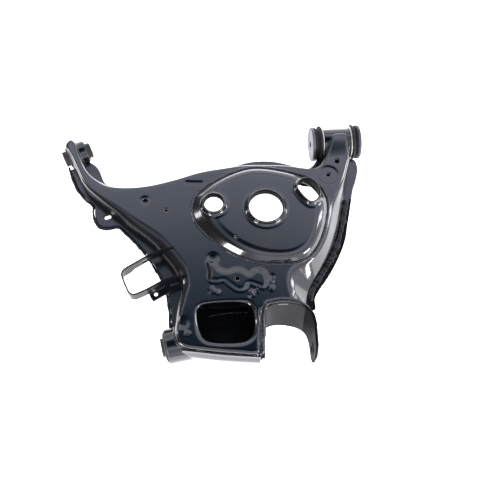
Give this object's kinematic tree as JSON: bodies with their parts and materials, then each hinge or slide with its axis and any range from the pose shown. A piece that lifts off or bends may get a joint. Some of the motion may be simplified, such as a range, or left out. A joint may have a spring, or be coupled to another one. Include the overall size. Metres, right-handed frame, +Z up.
{
  "type": "suspension control arm",
  "caption": "Pressed-steel lower control arm of two welded shells with a raised spring seat, a box end with a fork, a strap bracket and rubber bushes.",
  "frame": {"origin": "middle of the front inboard bush, on its bore axis", "axes": "+X along the front bush's bore, away from the arm; +Z up, towards the spring seat; +Y past the bush, away from the box end"},
  "size_m": [0.5711, 0.4563, 0.097],
  "materials": {
    "black_paint": "glossy black electro-coat on pressed steel",
    "painted_weld": "rippled weld bead under the same black coat",
    "bush_rubber": "matt black moulded rubber",
    "plated_steel": "thin pale plated steel",
    "dark_sleeve": "dark phosphated sleeve",
    "machined_plate": "pale machined steel face"
  },
  "bodies": {
    "arm": {"upper_shell_left_leg": "black_paint", "upper_shell_back_rail": "black_paint", "upper_shell_neck": "black_paint", "upper_shell_box_end": "black_paint", "upper_shell_right_leg": "black_paint", "lower_shell_left_leg": "black_paint", "lower_shell_back_rail": "black_paint", "lower_shell_neck": "black_paint", "lower_shell_box_end": "black_paint", "lower_shell_right_leg": "black_paint", "spring_seat": "black_paint", "box_front_plate": "black_paint", "box_cross_plate": "black_paint", "fork_bracket": "black_paint", "fork_inner_ear": "black_paint", "fork_weld_nut": "plated_steel", "strap_bracket": "black_paint", "clip_lug": "black_paint", "front_bush_housing": "black_paint", "front_bush_outer_sleeve_left": "plated_steel", "front_bush_outer_sleeve_right": "plated_steel", "front_bush_rubber_left": "bush_rubber", "front_bush_rubber_right": "bush_rubber", "rear_bush_housing": "black_paint", "rear_bush_outer_sleeve": "plated_steel", "rear_bush_rubber": "bush_rubber", "knuckle_bush_housing": "black_paint", "knuckle_bush_outer_sleeve": "plated_steel", "knuckle_bush_rubber": "bush_rubber", "seat_weld": "painted_weld", "seam_weld": "painted_weld", "fork_weld": "painted_weld", "front_housing_weld": "painted_weld", "rear_housing_weld": "painted_weld", "knuckle_housing_weld": "painted_weld"},
    "front_bush_core": {"front_bush_inner_sleeve": "dark_sleeve", "front_bush_end_plate_left": "machined_plate", "front_bush_end_plate_right": "machined_plate"},
    "rear_bush_core": {"rear_bush_inner_sleeve": "dark_sleeve"},
    "knuckle_bush_core": {"knuckle_bush_inner_sleeve": "dark_sleeve"}
  },
  "joints": [
    {"name": "front_bush_twist", "type": "hinge", "parent": "arm", "child": "front_bush_core", "pos_m": [0, 0, 0], "axis": [1, 0, 0], "range_deg": [-25, 25], "stiffness_Nm_per_rad": 40},
    {"name": "rear_bush_twist", "type": "hinge", "parent": "arm", "child": "rear_bush_core", "pos_m": [-0.4937, 0.0055, 0], "axis": [0.9331, 0.3596, 0], "range_deg": [-25, 25], "stiffness_Nm_per_rad": 30},
    {"name": "knuckle_bush_twist", "type": "hinge", "parent": "arm", "child": "knuckle_bush_core", "pos_m": [-0.3215, -0.3765, -0.008], "axis": [-0.9903, -0.1392, 0], "range_deg": [-20, 20], "stiffness_Nm_per_rad": 30}
  ]
}
